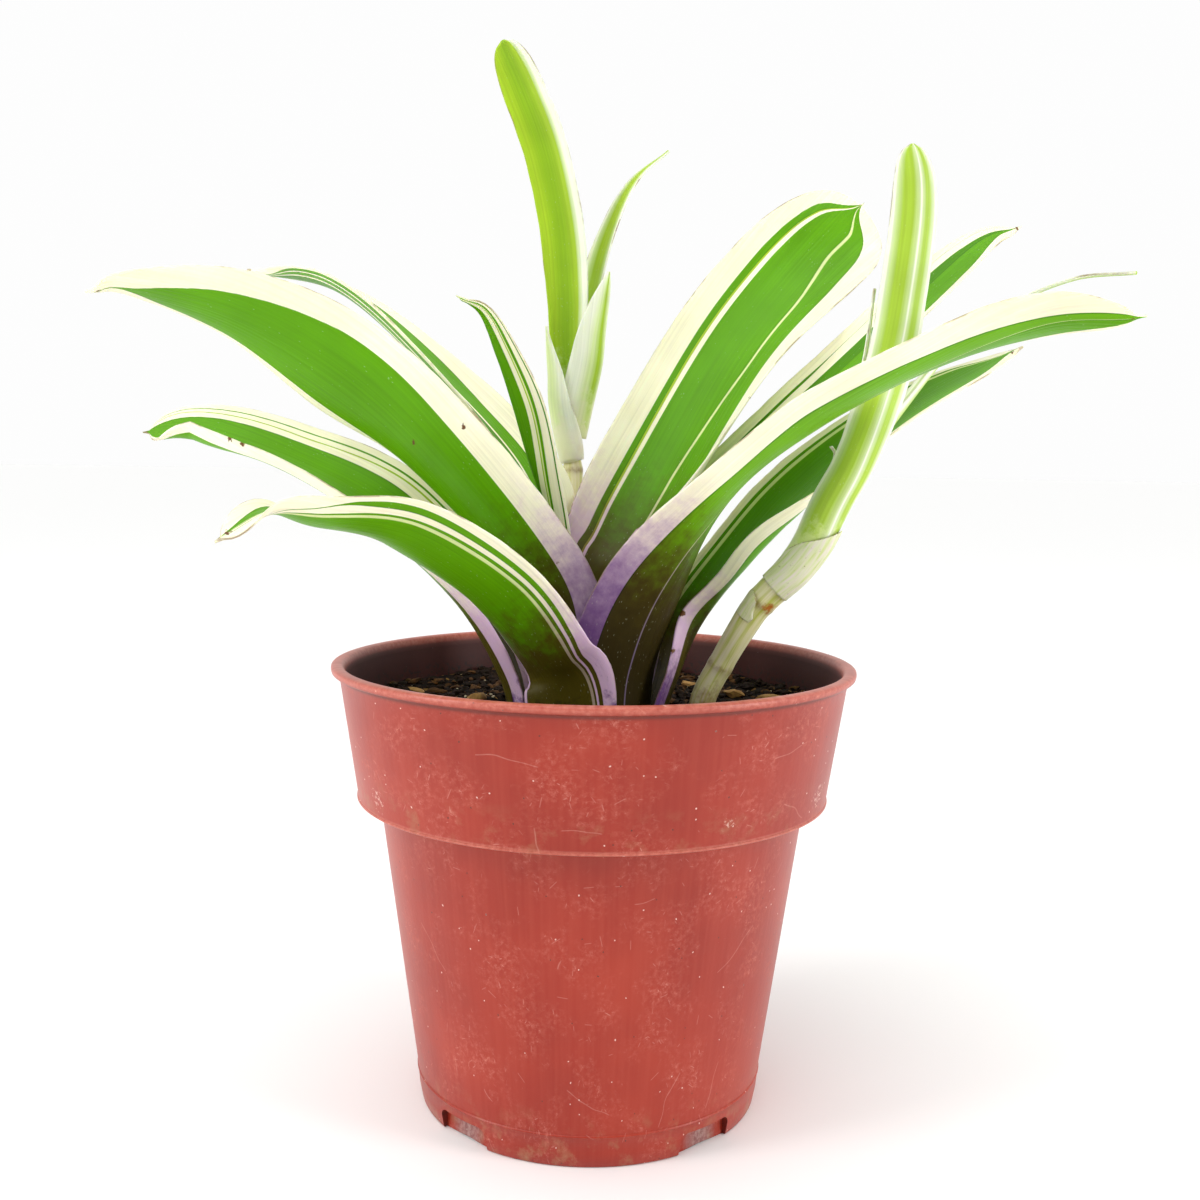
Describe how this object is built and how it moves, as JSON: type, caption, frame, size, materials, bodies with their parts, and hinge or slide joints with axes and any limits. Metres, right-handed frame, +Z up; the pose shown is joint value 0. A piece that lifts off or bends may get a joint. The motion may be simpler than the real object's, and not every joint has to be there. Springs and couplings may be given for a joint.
{
  "type": "potted neoregelia",
  "caption": "Variegated neoregelia, a rosette of cream-edged strap leaves with pups on runners, growing in a round terracotta-red plastic nursery pot.",
  "frame": {"origin": "On the ground plane at the pot's own axis, which is within 0.7 mm of the middle of the plan of the whole plant and pot; z = 0 is the underside of the pot's foot ring.", "axes": "+Z is up, along the pot's axis. -Y is the side that the plant is seen from, and +X is to the viewer's right."},
  "size_m": [0.1851, 0.1058, 0.2198],
  "materials": {
    "pot_plastic": "satin",
    "potting_mix": "matte",
    "rootstock": "matte",
    "rosette_leaf": "satin",
    "runner_stem": "satin",
    "pup_leaf": "satin",
    "pup_bract": "satin"
  },
  "bodies": {
    "root": {"pot": "pot_plastic", "soil": "potting_mix", "rootstock": "rootstock", "leaf_centre": "rosette_leaf", "leaf_back_right": "rosette_leaf", "leaf_right_high": "rosette_leaf", "leaf_back_left": "rosette_leaf", "leaf_left": "rosette_leaf", "leaf_right_front": "rosette_leaf", "leaf_right_low": "rosette_leaf", "leaf_left_low": "rosette_leaf", "leaf_front_left": "rosette_leaf", "runner_back": "runner_stem", "back_bract_left": "pup_bract", "back_bract_right": "pup_bract", "back_leaf_side": "pup_leaf", "back_leaf_tall": "pup_leaf", "runner_right": "runner_stem", "right_bract": "pup_bract", "right_leaf_tall": "pup_leaf", "right_leaf_side": "pup_leaf", "right_bract_tip": "pup_bract"}
  },
  "joints": []
}
